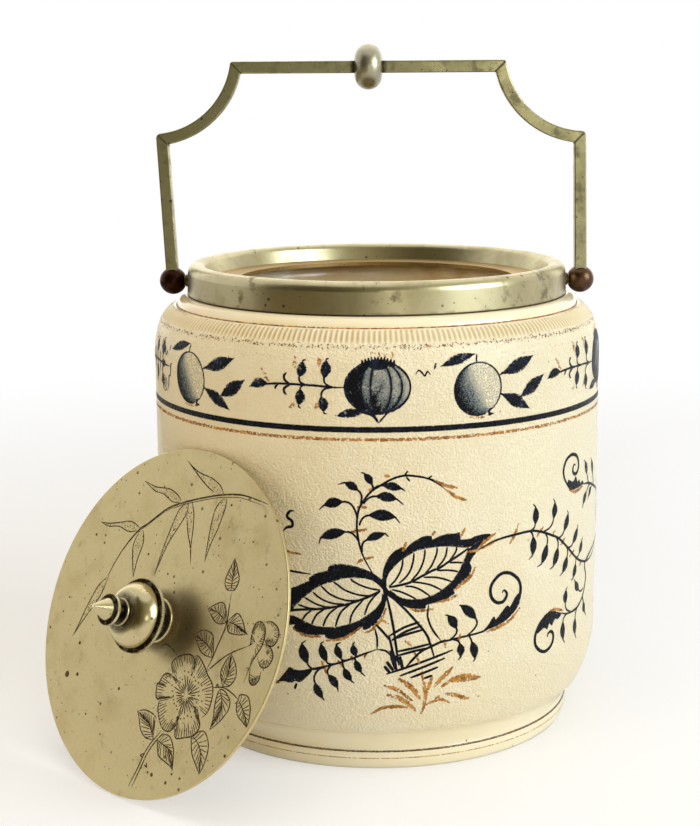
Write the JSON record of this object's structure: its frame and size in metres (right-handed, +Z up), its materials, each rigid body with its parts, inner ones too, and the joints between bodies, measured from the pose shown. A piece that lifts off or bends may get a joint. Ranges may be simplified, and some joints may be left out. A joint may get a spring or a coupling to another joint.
{
  "type": "biscuit jar",
  "caption": "Round stoneware biscuit jar with a plated rim, a swinging square-bar bail and a flat lift-off lid with a turned finial.",
  "frame": {"origin": "on the jar's own axis, in the plane that its foot ring stands on", "axes": "+Z up the jar's axis; +X to the right and -Y to the front, with the bail upright in the XZ plane; the lid leans at the front left"},
  "size_m": [0.1781, 0.1792, 0.2185],
  "materials": {
    "stoneware": "cream stoneware, fine stippled ground with blue and gilt ornament; neck moulding and foot are smooth glaze",
    "plaster": "dry plaster bedding, hidden under the mount",
    "plated_mount": "spun nickel silver, plating worn to an olive brass tone, pitted",
    "bail": "drawn square bar, dull olive brass with dark solder at the joints",
    "bead_metal": "worn plated bead, brassy spots",
    "copper_ball": "dark brown patinated copper alloy",
    "pin_steel": "dark pin and boss, oxidised",
    "lid_metal": "flat worn plated sheet, engraved and pitted",
    "finial_metal": "turned, polished on the high parts and black in the hollows",
    "fixing_metal": "plain turned stud, washer and square nut"
  },
  "bodies": {
    "jar": {"jar_body": "stoneware", "plaster_bedding": "plaster", "rim_collar": "plated_mount", "lid_seat_ring": "plated_mount", "pivot_boss_left": "pin_steel", "pivot_boss_right": "pin_steel", "pivot_pin_left": "pin_steel", "pivot_pin_right": "pin_steel"},
    "bail": {"top_bar": "bail", "handle_bead": "bead_metal", "scroll_bar_left": "bail", "scroll_bar_right": "bail", "upright_bar_left": "bail", "upright_bar_right": "bail", "pivot_ball_left": "copper_ball", "pivot_ball_right": "copper_ball"},
    "lid": {"lid_plate": "lid_metal", "finial_base_ring": "finial_metal", "finial_waist": "finial_metal", "finial_milled_flange": "finial_metal", "finial_dome": "finial_metal", "finial_neck_ring": "finial_metal", "finial_milled_ring": "finial_metal", "finial_tip": "finial_metal", "finial_stud": "fixing_metal", "finial_washer": "fixing_metal", "finial_nut": "fixing_metal"}
  },
  "joints": [
    {"name": "bail_swing", "type": "hinge", "parent": "jar", "child": "bail", "pos_m": [0, 0, 0.1433], "axis": [1, 0, 0], "range_deg": [-82, 82]},
    {"name": "lid_lift", "type": "slide", "parent": "jar", "child": "lid", "axis": [-0.6434, -0.6639, 0.3811], "range_m": [0, 0.15]}
  ]
}
